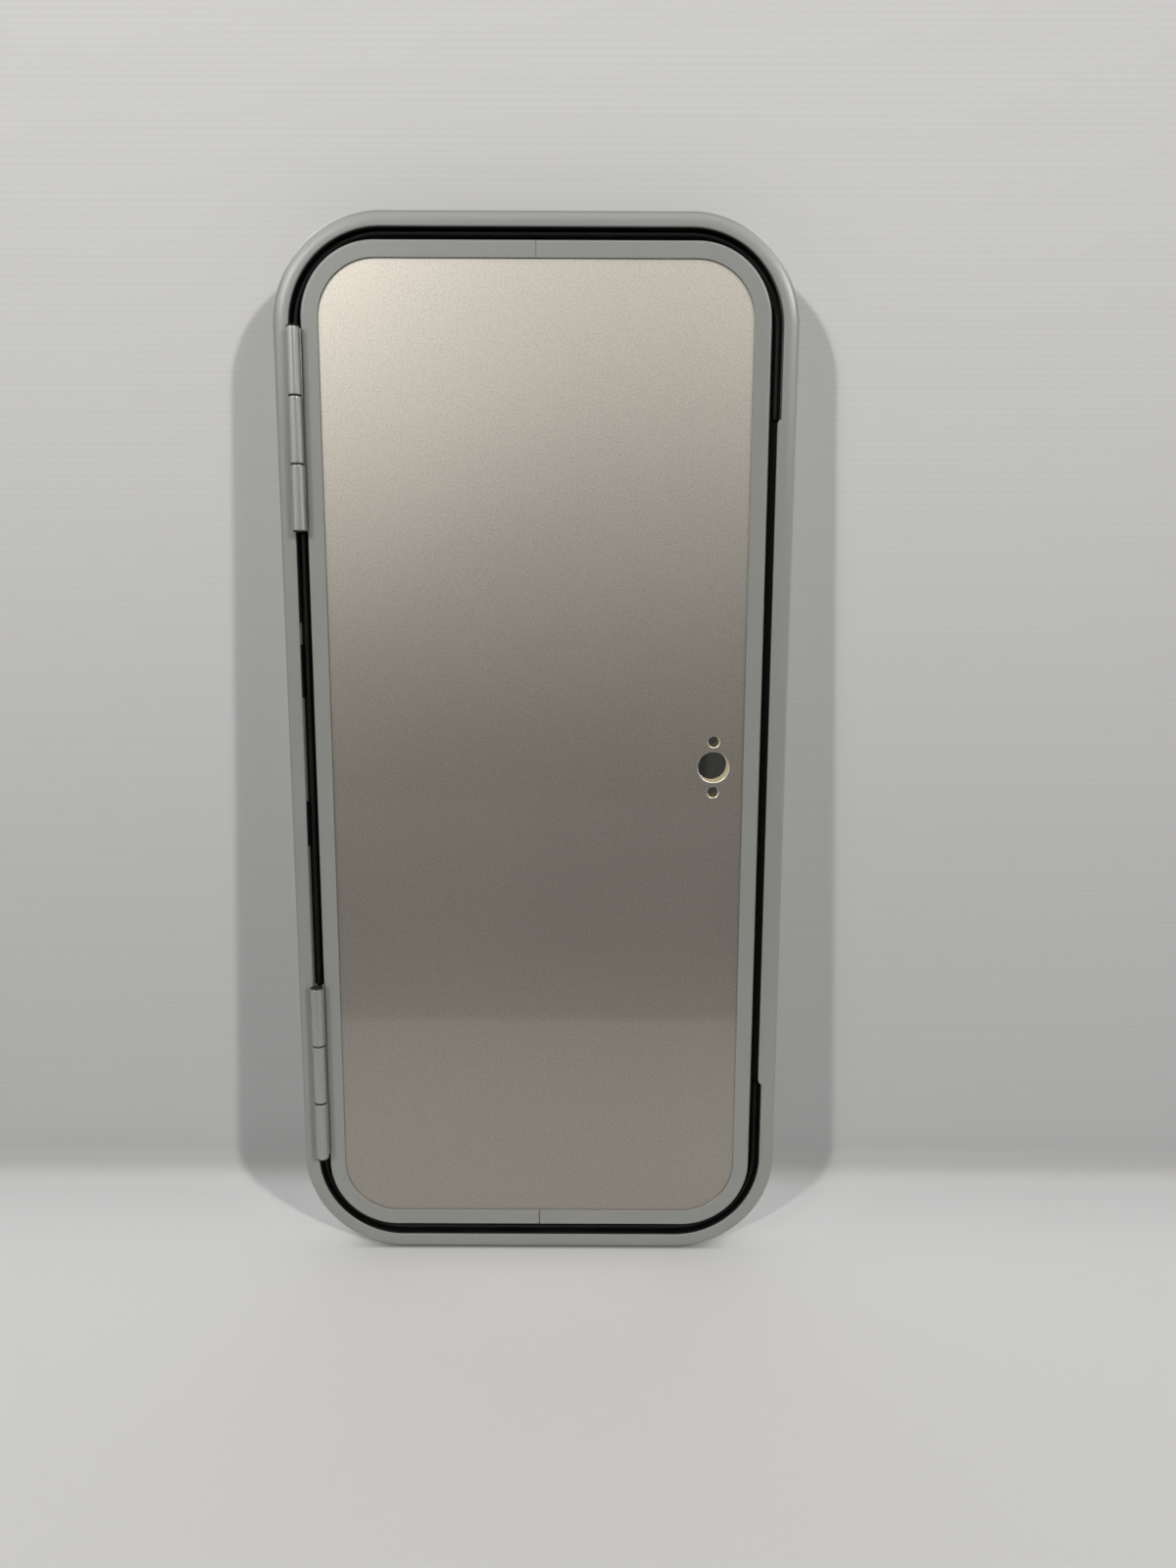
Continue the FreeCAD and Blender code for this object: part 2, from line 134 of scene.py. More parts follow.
class Socket:
    """An output of a node. Arithmetic on it adds Math nodes to its graph."""

    def __init__(self, graph, output):
        self.graph = graph
        self.output = output

    def also(self, name):
        """Another output of the same node."""
        return Socket(self.graph, self.output.node.outputs[name])

    def maths(self, operation, *values):
        """A Math node on one or two values."""
        return self.graph.add("ShaderNodeMath", {"operation": operation}, dict(enumerate(values)))

    def __add__(self, other):
        return self.maths("ADD", self, other)

    def __radd__(self, other):
        return self.maths("ADD", other, self)

    def __sub__(self, other):
        return self.maths("SUBTRACT", self, other)

    def __rsub__(self, other):
        return self.maths("SUBTRACT", other, self)

    def __mul__(self, other):
        return self.maths("MULTIPLY", self, other)

    def __rmul__(self, other):
        return self.maths("MULTIPLY", other, self)

    def __pow__(self, other):
        return self.maths("POWER", self, other)

    def __rpow__(self, other):
        return self.maths("POWER", other, self)

    def __mod__(self, other):
        return self.maths("FLOORED_MODULO", self, other)

    def __rmod__(self, other):
        return self.maths("FLOORED_MODULO", other, self)

    def __lt__(self, other):
        return self.maths("LESS_THAN", self, other)

    def __gt__(self, other):
        return self.maths("GREATER_THAN", self, other)

    def __abs__(self):
        return self.maths("ABSOLUTE", self)

    def between(self, low, high):
        """0 below the low value, 1 above the high one, and a smooth rise between them."""
        settings = {"interpolation_type": "SMOOTHSTEP"}
        values = {"Value": self, "From Min": low, "From Max": high, "To Min": 0.0, "To Max": 1.0}
        return self.graph.add("ShaderNodeMapRange", settings, values)


class Graph:
    """A node tree that is written as expressions."""

    def __init__(self, tree):
        self.tree = tree
        self.entry = None

    def add(self, kind, settings=None, values=None, out=0):
        """Adds a node: its settings first, then the values or links of its sockets."""
        node = self.tree.nodes.new(kind)
        for name, setting in (settings or {}).items():
            setattr(node, name, setting)
        for key, value in (values or {}).items():
            if isinstance(value, Socket):
                self.tree.links.new(value.output, node.inputs[key])
            else:
                node.inputs[key].default_value = value
        return Socket(self, node.outputs[out]) if len(node.outputs) else node

    def take(self, name, kind):
        """A named input of the tree."""
        self.tree.interface.new_socket(name, in_out="INPUT", socket_type=kind)
        if self.entry is None:
            self.entry = self.add("NodeGroupInput").output.node
        return Socket(self, self.entry.outputs[name])

    def give(self, geometry):
        """The tree's result."""
        self.tree.interface.new_socket("Geometry", in_out="OUTPUT", socket_type="NodeSocketGeometry")
        self.add("NodeGroupOutput", None, {"Geometry": geometry})

    def vector(self, x, y, z):
        """A vector of three values."""
        return self.add("ShaderNodeCombineXYZ", None, {"X": x, "Y": y, "Z": z})

    def place(self):
        """Object coordinates, in metres."""
        return self.add("ShaderNodeTexCoord", out="Object")

    def stretch(self, vector, scale):
        """Coordinates multiplied along each axis."""
        return self.add("ShaderNodeVectorMath", {"operation": "MULTIPLY"}, {0: vector, 1: scale})

    def noise(self, vector, scale, detail, roughness=0.5):
        """Cloudy values from 0 to 1."""
        values = {"Vector": vector, "Scale": scale, "Detail": detail, "Roughness": roughness}
        return self.add("ShaderNodeTexNoise", None, values, "Fac")

    def mix(self, factor, first, second):
        """A colour between two others. Its sockets go by number, because others share their names."""
        return self.add("ShaderNodeMix", {"data_type": "RGBA"}, {0: factor, 6: first, 7: second}, 2)

    def bump(self, height, distance, strength):
        """A normal that follows small heights."""
        values = {"Height": height, "Distance": distance, "Strength": strength}
        return self.add("ShaderNodeBump", None, values)

    def facing(self, direction, towards):
        """How nearly a direction is another one: 1 along it, 0 across it."""
        settings = {"operation": "DOT_PRODUCT"}
        return self.add("ShaderNodeVectorMath", settings, {0: direction, 1: towards}, "Value")

    def surface(self, values):
        """A Principled shader on the material's output."""
        shader = self.add("ShaderNodeBsdfPrincipled", None, values)
        self.add("ShaderNodeOutputMaterial", None, {"Surface": shader})


def new_material(name):
    """An empty node material and the graph to write it in."""
    made = bpy.data.materials.new(name)
    made.use_nodes = True
    made.node_tree.nodes.clear()
    return made, Graph(made.node_tree)


# Finishes

# Painted shade in the joint gaps of the leaf's edge: reach from the edge inwards, margin, half width, and
# strength
SEAM_REACH = 12.0 * MM
SEAM_MARGIN = 0.5 * MM
GAP_SHADE_HALF_WIDTH = 0.25 * MM
GAP_SHADE_BELOW = 0.85
GAP_SHADE_ABOVE = 0.35

DEBURRED_RIM = 0.2 * MM


def joint_gap_shade(graph, place):
    """Where painted shade darkens the two joint gaps of the leaf's edge, fainter in the upper one."""
    split = graph.add("ShaderNodeSeparateXYZ", None, {0: place})
    height = split.also("Z")
    rise = abs(height)
    on_edge = (rise > LEAF[1] - SEAM_REACH) * (rise < LEAF[1] + SEAM_MARGIN)
    on_leaf = on_edge * (split.also("Y") < LEAF_BACK * MM + SEAM_MARGIN)
    beside = abs(split).between(GAP_SHADE_HALF_WIDTH, 2 * GAP_SHADE_HALF_WIDTH)
    strength = GAP_SHADE_BELOW - (GAP_SHADE_BELOW - GAP_SHADE_ABOVE) * (height > 0.0)
    return strength * (1.0 - beside) * on_leaf


def grey_paint():
    """Satin powder paint: faint orange peel, slightly clouded, painted shade in the joint gaps of the leaf's
    edge.
    """
    made, graph = new_material("grey_satin_paint")
    place = graph.place()
    clouds = graph.noise(place, scale=28.0, detail=3.0)
    peel = graph.noise(place, scale=900.0, detail=2.0)
    colour = graph.mix(clouds, (0.228, 0.231, 0.218, 1.0), (0.252, 0.256, 0.242, 1.0))
    # Painted shade: a dark line along the two joints in the leaf's edge, standing in for shadow in the gaps
    colour = graph.mix(joint_gap_shade(graph, place), colour, (0.03, 0.03, 0.028, 1.0))
    graph.surface({
        "Base Color": colour,
        "Roughness": 0.3 + 0.06 * graph.noise(place, scale=160.0, detail=2.0),
        "Normal": graph.bump(peel, distance=0.02 * MM, strength=0.5),
        "Specular IOR Level": 0.5,
    })
    return made


def hinge_paint():
    """The same paint over drawn metal, whose lines still show along the barrels."""
    made, graph = new_material("grey_drawn_paint")
    place = graph.place()
    lines = graph.noise(graph.stretch(place, (2600.0, 2600.0, 14.0)), scale=1.0, detail=3.0)
    colour = graph.mix(lines, (0.27, 0.274, 0.262, 1.0), (0.318, 0.322, 0.308, 1.0))
    graph.surface({
        "Base Color": colour,
        "Roughness": 0.18 + 0.08 * lines,
        "Metallic": 0.35,
        "Normal": graph.bump(lines, distance=0.02 * MM, strength=0.4),
    })
    return made


def champagne_paint():
    """Clear-coated metallic paint with fine flakes, and bare metal where the holes were deburred."""
    made, graph = new_material("champagne_metallic")
    place = graph.place()
    flakes = graph.noise(place, scale=1100.0, detail=2.0, roughness=0.6)
    grain = graph.noise(place, scale=620.0, detail=2.0)
    clouds = graph.noise(place, scale=9.0, detail=2.0)
    tone = graph.mix(flakes.between(0.3, 0.7), (0.263, 0.243, 0.209, 1.0), (0.341, 0.315, 0.271, 1.0))
    tone = graph.mix(0.45 * grain.between(0.35, 0.65), tone, (0.366, 0.338, 0.291, 1.0))
    split = graph.add("ShaderNodeSeparateXYZ", None, {0: place})
    across = split - LOCK_X
    height = split.also("Z")
    rims = 0.0
    for rise, bore, _ in LOCK_HOLES:
        off_centre = (across * across + (height - rise) ** 2.0) ** 0.5
        rims = rims + (off_centre < bore + DEBURRED_RIM)
    colour = graph.mix(rims, tone, (0.62, 0.61, 0.58, 1.0))
    graph.surface({
        "Base Color": colour,
        "Metallic": 1.0,
        "Roughness": 0.345 + 0.03 * clouds + 0.03 * grain,
        "Coat Weight": 1.0,
        "Coat Roughness": 0.06,
        "Coat IOR": 1.6,
        "Normal": graph.bump(flakes, distance=0.02 * MM, strength=0.25),
    })
    return made


def inner_paint():
    """Pale satin paint on the inside sheet, with a light pebble."""
    made, graph = new_material("pale_inner_paint")
    place = graph.place()
    pebble = graph.noise(place, scale=420.0, detail=3.0)
    clouds = graph.noise(place, scale=7.0, detail=3.0)
    colour = graph.mix(clouds, (0.55, 0.552, 0.54, 1.0), (0.62, 0.622, 0.61, 1.0))
    graph.surface({
        "Base Color": colour,
        "Roughness": 0.38 + 0.12 * clouds,
        "Normal": graph.bump(pebble, distance=0.05 * MM, strength=0.5),
    })
    return made


def cream_foam():
    """Cut foam: cream, matt and full of small pores."""
    made, graph = new_material("cream_foam")
    place = graph.place()
    pores = graph.noise(place, scale=1400.0, detail=4.0, roughness=0.7)
    colour = graph.mix(pores, (0.42, 0.36, 0.2, 1.0), (0.64, 0.58, 0.38, 1.0))
    graph.surface({
        "Base Color": colour,
        "Roughness": 0.9,
        "Normal": graph.bump(pores, distance=0.2 * MM, strength=0.8),
    })
    return made


def seal_rubber():
    """Black rubber with a faint bloom of dust."""
    made, graph = new_material("black_seal_rubber")
    place = graph.place()
    bloom = graph.noise(place, scale=60.0, detail=4.0, roughness=0.6).between(0.35, 0.8)
    grain = graph.noise(place, scale=1800.0, detail=2.0)
    colour = graph.mix(bloom, (0.0015, 0.0015, 0.0015, 1.0), (0.004, 0.004, 0.004, 1.0))
    graph.surface({
        "Base Color": colour,
        "Roughness": 0.5 + 0.2 * bloom,
        "Specular IOR Level": 0.12,
        "Normal": graph.bump(grain, distance=0.03 * MM, strength=0.4),
    })
    return made


def pin_steel():
    """Turned steel, brushed round the pin and over the screw heads."""
    made, graph = new_material("brushed_steel")
    place = graph.place()
    turning = graph.noise(graph.stretch(place, (60.0, 60.0, 5200.0)), scale=1.0, detail=3.0)
    stains = graph.noise(place, scale=350.0, detail=3.0)
    colour = graph.mix(stains, (0.52, 0.52, 0.51, 1.0), (0.66, 0.655, 0.64, 1.0))
    graph.surface({
        "Base Color": colour,
        "Metallic": 1.0,
        "Roughness": 0.24 + 0.14 * turning + 0.06 * stains,
        "Normal": graph.bump(turning, distance=0.02 * MM, strength=0.4),
    })
    return made


def black_plastic():
    """Moulded black plastic, finely grained."""
    made, graph = new_material("black_moulded_plastic")
    place = graph.place()
    grain = graph.noise(place, scale=2400.0, detail=2.0)
    colour = graph.mix(grain, (0.006, 0.006, 0.0062, 1.0), (0.014, 0.014, 0.014, 1.0))
    graph.surface({
        "Base Color": colour,
        "Specular IOR Level": 0.2,
        "Roughness": 0.42 + 0.15 * grain,
        "Normal": graph.bump(grain, distance=0.03 * MM, strength=0.5),
    })
    return made


# Shapes


def link(name, data):
    """A new object at the origin."""
    made = bpy.data.objects.new(name, data)
    bpy.context.scene.collection.objects.link(made)
    return made


def rounded_section(corners):
    """The points of a closed section whose corners are rounded, with flats kept flat beside the roundings."""
    count = len(corners)
    spots = [Vector(corner[:2]) for corner in corners]
    radii = [corner[2] for corner in corners]
    arcs = []
    for index, (spot, radius) in enumerate(zip(spots, radii)):
        to_last = (spots[index - 1] - spot).normalized()
        to_next = (spots[(index + 1) % count] - spot).normalized()
        half_angle = to_last.angle(to_next) / 2
        centre = spot + (to_last + to_next).normalized() * radius / math.sin(half_angle)
        reach = radius / math.tan(half_angle)
        arcs.append((centre, to_last, to_next, reach))
    points = []
    for index, (centre, to_last, to_next, reach) in enumerate(arcs):
        spot = spots[index]
        flats = [
            (spot - spots[other]).length - reach - arcs[other][3]
            for other in (index - 1, (index + 1) % count)
        ]
        before, after = [min(FLAT_MARGIN, FLAT_SHARE * flat) for flat in flats]
        start = spot + to_last * reach - centre
        end = spot + to_next * reach - centre
        turn = start.angle(end)
        step_angle = SMALL_STEP if radii[index] < SMALL_ROUNDING else LARGE_STEP
        steps = 2 + round(turn / step_angle)
        points.append(spot + to_last * (reach + before))
        for step in range(steps + 1):
            share = step / steps
            from_start = start * math.sin((1 - share) * turn)
            from_end = end * math.sin(share * turn)
            points.append(centre + (from_start + from_end) / math.sin(turn))
        points.append(spot + to_next * (reach + after))
    return points


def section_curve(name, corners):
    """A closed flat curve of a section, drawn inwards along X and in depth along Y."""
    points = rounded_section(corners)
    curve = bpy.data.curves.new(name, "CURVE")
    curve.dimensions = "2D"
    spline = curve.splines.new("POLY")
    spline.points.add(len(points) - 1)
    for place, point in zip(spline.points, points):
        place.co = (-point.x * MM, point.y * MM, 0.0, 1.0)
    spline.use_cyclic_u = True
    return link(name, curve)


def sweep_tree():
    """A section carried round a rectangle with rounded corners, whole or from one gap to the other."""
    tree = bpy.data.node_groups.new("swept_section", "GeometryNodeTree")
    graph = Graph(tree)
    far_side = graph.take("Half Width", "NodeSocketFloat")
    rise = graph.take("Half Height", "NodeSocketFloat")
    near_side = graph.take("Near Side", "NodeSocketFloat")
    radius = graph.take("Corner Radius", "NodeSocketFloat")
    steps = graph.take("Corner Steps", "NodeSocketInt")
    closed = graph.take("Closed", "NodeSocketBool")
    turn = graph.take("Turn", "NodeSocketFloat")
    section = graph.take("Section", "NodeSocketObject")
    finish = graph.take("Finish", "NodeSocketMaterial")
    # Corners 0 to 3 in turn: near side at the top, far side at the top, far side below, near side below
    index = graph.add("GeometryNodeInputIndex")
    on_far_side = abs(index - 1.5) < 1.0
    at_top = index < 1.5
    across = near_side + (far_side - near_side) * on_far_side
    corner = graph.vector(across, rise * (2.0 * at_top - 1.0), 0.0)
    points = graph.add("GeometryNodePoints", None, {"Count": 4, "Position": corner})
    path = graph.add("GeometryNodePointsToCurves", None, {"Points": points})
    path = graph.add("GeometryNodeSetSplineCyclic", None, {"Geometry": path, "Cyclic": closed})
    rounding = {"Curve": path, "Count": steps, "Radius": radius}
    path = graph.add("GeometryNodeFilletCurve", {"mode": "POLY"}, rounding)
    path = graph.add("GeometryNodeSetCurveNormal", {"mode": "Z_UP"}, {"Curve": path})
    profile = graph.add("GeometryNodeObjectInfo", None, {"Object": section}, "Geometry")
    swept = {"Curve": path, "Profile Curve": profile, "Fill Caps": True}
    shell = graph.add("GeometryNodeCurveToMesh", None, swept)
    upright = {"Geometry": shell, "Rotation": (math.pi / 2, 0.0, 0.0)}
    shell = graph.add("GeometryNodeTransform", None, upright)
    turned = graph.add("FunctionNodeEulerToRotation", None, {0: graph.vector(0.0, turn, 0.0)})
    shell = graph.add("GeometryNodeTransform", None, {"Geometry": shell, "Rotation": turned})
    shell = graph.add("GeometryNodeRealizeInstances", None, {"Geometry": shell})
    graph.give(graph.add("GeometryNodeSetMaterial", None, {"Geometry": shell, "Material": finish}))
    return tree


def grown_mesh(name, tree, inputs):
    """The plain mesh that a node tree makes from its named inputs."""
    holder = link(name, bpy.data.meshes.new(name))
    modifier = holder.modifiers.new(name, "NODES")
    modifier.node_group = tree
    for item in tree.interface.items_tree:
        if item.in_out == "INPUT":
            modifier[item.identifier] = inputs[item.name]
    bpy.context.view_layer.update()
    evaluated = holder.evaluated_get(bpy.context.evaluated_depsgraph_get())
    mesh = bpy.data.meshes.new_from_object(evaluated)
    holder.modifiers.remove(modifier)
    bpy.data.objects.remove(holder)
    mesh.name = name
    return mesh


def close_shell(mesh):
    """Merges doubles and turns the faces outwards."""
    shell = bmesh.new()
    shell.from_mesh(mesh)
    bmesh.ops.remove_doubles(shell, verts=shell.verts, dist=MERGE_DISTANCE)
    bmesh.ops.recalc_face_normals(shell, faces=shell.faces)
    shell.to_mesh(mesh)
    shell.free()
    return mesh


def shade(mesh, angle=SHARP_TURN):
    """Smooth shading, with sharp edges where the surface turns by more than an angle."""
    mesh.shade_smooth()
    mesh.set_sharp_from_angle(angle=math.radians(angle))
    return mesh


def combined(base, other, operation):
    """A mesh joined with another one, or cut by it."""
    base_holder = link("base_holder", base)
    other_holder = link("other_holder", other)
    modifier = base_holder.modifiers.new("combine", "BOOLEAN")
    modifier.operation = operation
    modifier.solver = "EXACT"
    modifier.use_self = True
    modifier.object = other_holder
    bpy.context.view_layer.update()
    evaluated = base_holder.evaluated_get(bpy.context.evaluated_depsgraph_get())
    mesh = bpy.data.meshes.new_from_object(evaluated)
    base_holder.modifiers.remove(modifier)
    bpy.data.objects.remove(base_holder)
    bpy.data.objects.remove(other_holder)
    return mesh


def lofted(name, rings):
    """A closed shell through rings of points, with flat ends."""
    shell = bmesh.new()
    rows = [[shell.verts.new(point) for point in ring] for ring in rings]
    for row, next_row in zip(rows, rows[1:]):
        for index in range(len(row)):
            after = (index + 1) % len(row)
            shell.faces.new((row[index], row[after], next_row[after], next_row[index]))
    shell.faces.new(rows[0])
    shell.faces.new(rows[-1])
    bmesh.ops.recalc_face_normals(shell, faces=shell.faces)
    mesh = bpy.data.meshes.new(name)
    shell.to_mesh(mesh)
    shell.free()
    return mesh


def block(name, across, depth, height, bevel=0.0):
    """A box between three pairs of planes, with its edges broken where a bevel is given."""
    shell = bmesh.new()
    bmesh.ops.create_cube(shell, size=1.0)
    size = Matrix.Diagonal((across[1] - across[0], depth[1] - depth[0], height[1] - height[0], 1.0))
    middle = Vector((sum(across) / 2, sum(depth) / 2, sum(height) / 2))
    bmesh.ops.transform(shell, matrix=Matrix.Translation(middle) @ size, verts=shell.verts)
    if bevel:
        bmesh.ops.bevel(shell, geom=shell.edges[:], offset=bevel, segments=2, profile=0.5, affect="EDGES")
    mesh = bpy.data.meshes.new(name)
    shell.to_mesh(mesh)
    shell.free()
    return mesh


def circle(centre, radius, level, steps):
    """A level ring of points about an upright axis."""
    angles = [ALL_ROUND * step / steps for step in range(steps)]
    return [
        Vector((centre[0] + radius * math.cos(angle), centre[1] + radius * math.sin(angle), level))
        for angle in angles
    ]


def joined(name, meshes):
    """Several meshes as one."""
    shell = bmesh.new()
    for mesh in meshes:
        shell.from_mesh(mesh)
    made = bpy.data.meshes.new(name)
    shell.to_mesh(made)
    shell.free()
    return made


def piece(name, mesh, finish, body, slot, *nodes):
    """A finished piece on its body, standing for the named solids."""
    mesh.materials.clear()
    mesh.materials.append(finish)
    made = link(name, mesh)
    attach(made, body)
    if nodes:
        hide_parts(*nodes)


# Frame, leaf edge and seal, swept along their outlines


def swept(name, outline, section, finish, near_side=None, turn=0.0):
    """A section swept round an outline, or along half of it from a joint."""
    inputs = {
        "Half Width": outline[0],
        "Half Height": outline[1],
        "Near Side": -outline[0] if near_side is None else near_side,
        "Corner Radius": outline[2],
        "Corner Steps": CORNER_STEPS,
        "Closed": near_side is None,
        "Turn": turn,
        "Section": section,
        "Finish": finish,
    }
    return close_shell(grown_mesh(name, SWEEP, inputs))


FIXING_BORE = 2.1 * MM
FIXING_DEPTH = 20.0 * MM
SIDE_FIXINGS = (240.0 * MM, 95.0 * MM, -95.0 * MM, -240.0 * MM)
END_FIXINGS = (60.0 * MM, -60.0 * MM)
FIXING_REACH = (-3.0 * MM, 6.0 * MM)
FIXING_STEPS = 32


def fixing_cutter():
    """Rods through the leg of the frame where its fixing holes are."""
    rods = []
    half_width, half_height, _ = FLANK
    for side in (-1, 1):
        ends = [side * (half_width + reach) for reach in FIXING_REACH]
        for height in SIDE_FIXINGS:
            ring = circle((height, FIXING_DEPTH), FIXING_BORE, 0.0, FIXING_STEPS)
            rings = [[Vector((end, point.y, point.x)) for point in ring] for end in ends]
            rods.append(lofted("rod", rings))
        ends = [side * (half_height + reach) for reach in FIXING_REACH]
        for across in END_FIXINGS:
            rings = [circle((across, FIXING_DEPTH), FIXING_BORE, end, FIXING_STEPS) for end in ends]
            rods.append(lofted("rod", rings))
    return joined("fixing_rods", rods)


def make_frame(finish):
    """The bent frame with its fixing holes."""
    section = section_curve("frame_section", FRAME_SECTION)
    mesh = swept("frame_shell", FLANK, section, finish)
    bpy.data.objects.remove(section)
    mesh = combined(mesh, fixing_cutter(), "DIFFERENCE")
    piece("frame_profile", shade(mesh), finish, "frame", "grey_paint", "outer_frame")


def make_leaf_edges(finish):
    """The two halves of the leaf's edge profile."""
    section = section_curve("edge_section", EDGE_SECTION)
    for side, turn in (("right", 0.0), ("left", math.pi)):
        mesh = swept(f"edge_{side}_shell", LEAF, section, finish, LEAF_SEAM / 2, turn)
        piece(f"edge_profile_{side}", shade(mesh), finish, "leaf", "grey_paint", f"leaf_edge_{side}")
    bpy.data.objects.remove(section)


# Cuts in the seal: depths, play around its neighbours, and the room across for the hinges and the strip
CUT_FRONT = -8.5 * MM
LIP_FOOT = -0.6 * MM
STRIP_SEAT_BACK = -6.1 * MM
CUT_PLAY = 0.5 * MM
CUT_SIDE = 166.0 * MM
HINGE_ROOM = (-CUT_SIDE, -158.0 * MM)
STRIP_ROOM = (158.0 * MM, 163.3 * MM)
STRIP_SEAT = (163.0 * MM, CUT_SIDE)

# Where the lip has slipped back on the hinge side, as pairs of heights
SLIP_ROOM = (-CUT_SIDE, -163.5 * MM)
HINGE_SIDE_SLIPS = ((100.6 * MM, 85.1 * MM), (48.3 * MM, -26.0 * MM), (-58.0 * MM, -162.0 * MM))

# Where it has slipped back above the strip: heights, depths of its foot and inner sides
CORNER_SLIP = (
    (STRIP_HALF_LENGTH, LIP_FOOT, 163.5 * MM),
    (300.0 * MM, LIP_FOOT, 163.0 * MM),
    (322.0 * MM, -3.5 * MM, 150.0 * MM),
    (345.0 * MM, -7.3 * MM, 130.0 * MM),
)


def box_ring(across, depth, height):
    """A level rectangle of points."""
    return [
        Vector((across[0], depth[0], height)),
        Vector((across[1], depth[0], height)),
        Vector((across[1], depth[1], height)),
        Vector((across[0], depth[1], height)),
    ]


def seal_cutter():
    """What is cut from the seal: room for the hinges and the strip, and where the lip has slipped back."""
    cuts = []
    for middle in HINGE_MIDDLES.values():
        heights = (middle - HINGE_LENGTH / 2 - CUT_PLAY, middle + HINGE_LENGTH / 2 + CUT_PLAY)
        cuts.append(block("hinge_room", HINGE_ROOM, (CUT_FRONT, 0.0), heights))
    for top, bottom in HINGE_SIDE_SLIPS:
        cuts.append(block("slip", SLIP_ROOM, (CUT_FRONT, LIP_FOOT), (bottom, top)))
    reach = STRIP_HALF_LENGTH + CUT_PLAY
    cuts.append(block("strip_room", STRIP_ROOM, (CUT_FRONT, CUT_PLAY), (-reach, reach)))
    cuts.append(block("strip_seat", STRIP_SEAT, (CUT_FRONT, STRIP_SEAT_BACK), (-reach, reach)))
    rings = [box_ring((inner, CUT_SIDE), (CUT_FRONT, foot), height) for height, foot, inner in CORNER_SLIP]
    cuts.append(lofted("corner_slip", rings))
    return joined("seal_cuts", cuts)


def make_seal(finish):
    """The rubber seal, with its slipped places."""
    section = section_curve("seal_section", SEAL_SECTION)
    mesh = swept("seal_shell", FLANK, section, finish)
    bpy.data.objects.remove(section)
    mesh = combined(mesh, seal_cutter(), "DIFFERENCE")
    piece("seal_profile", shade(mesh), finish, "frame", "black_rubber", "frame_seal")


# Panel layers

# Edges of the holes: widening at the face, depth of the broken edge in millimetres, and widening at its foot
DEBURR = 0.3 * MM
DEBURR_DEPTH = 0.2
DEBURR_FOOT = 0.05 * MM

# Torn foam: depth of the tear, sizes of its waves, and the hollow behind the first steps of the screw holes
FOAM_STEPS = 14
FOAM_TEAR = 0.45 * MM
TEAR_WAVE = 2.2 * MM
TEAR_RIPPLE = 0.9 * MM
RIPPLE_SHARE = 0.6
TEAR_START = 0.25
SCREW_HOLLOW = 1.8 * MM
HOLLOW_START = 3


def outline_points(outline, depth):
    """A rounded rectangle of points at a depth."""
    half_width, half_height, radius = outline
    points = []
    for quarter in range(4):
        across = (1, -1, -1, 1)[quarter] * (half_width - radius)
        height = (1, 1, -1, -1)[quarter] * (half_height - radius)
        for step in range(CORNER_STEPS + 1):
            angle = math.pi / 2 * (quarter + step / CORNER_STEPS)
            corner = (across + radius * math.cos(angle), height + radius * math.sin(angle))
            points.append(Vector((corner[0], depth, corner[1])))
    return points


def hole_rings(centre, bore, levels, rough, steps):
    """Rings down the wall of a hole: each level is a depth and a widening."""
    rings = []
    for depth, widening in levels:
        ring = []
        for step in range(steps):
            angle = ALL_ROUND * step / steps
            direction = Vector((math.cos(angle), 0.0, math.sin(angle)))
            radius = bore + widening
            spot = direction * radius + Vector((centre[0], depth, centre[1]))
            if rough:
                waver = noise.noise(spot / TEAR_WAVE) + RIPPLE_SHARE * noise.noise(spot / TEAR_RIPPLE)
                spot += direction * min(0.0, rough * (waver - TEAR_START))
            ring.append(spot)
        rings.append(ring)
    return rings


def panel_layer(name, front, back, levels, rough=0.0, hollows=None):
    """A sheet with the lock's three holes, whose walls go through levels. Screw holes can be hollowed."""
    shell = bmesh.new()

    def row(points):
        return [shell.verts.new(point) for point in points]

    def wall(first, second):
        for index in range(len(first)):
            after = (index + 1) % len(first)
            shell.faces.new((first[index], first[after], second[after], second[index]))

    def loop_edges(ring):
        return [shell.edges.get((ring[index - 1], ring[index])) for index in range(len(ring))]

    rim_front = row(outline_points(PANEL, front * MM))
    rim_back = row(outline_points(PANEL, back * MM))
    wall(rim_front, rim_back)
    front_edges = loop_edges(rim_front)
    back_edges = loop_edges(rim_back)
    for rise, bore, steps in LOCK_HOLES:
        hollow = hollows if hollows and bore == LOCK_SCREW_BORE else {}
        cut = [(depth, widening + hollow.get(depth, 0.0)) for depth, widening in levels]
        rows = [row(ring) for ring in hole_rings((LOCK_X, rise), bore, cut, rough, steps)]
        for first, second in zip(rows, rows[1:]):
            wall(first, second)
        front_edges += loop_edges(rows[0])
        back_edges += loop_edges(rows[-1])
    for edges in (front_edges, back_edges):
        bmesh.ops.triangle_fill(shell, edges=edges, use_beauty=True, use_dissolve=False)
    bmesh.ops.recalc_face_normals(shell, faces=shell.faces)
    mesh = bpy.data.meshes.new(name)
    shell.to_mesh(mesh)
    shell.free()
    return shade(mesh)


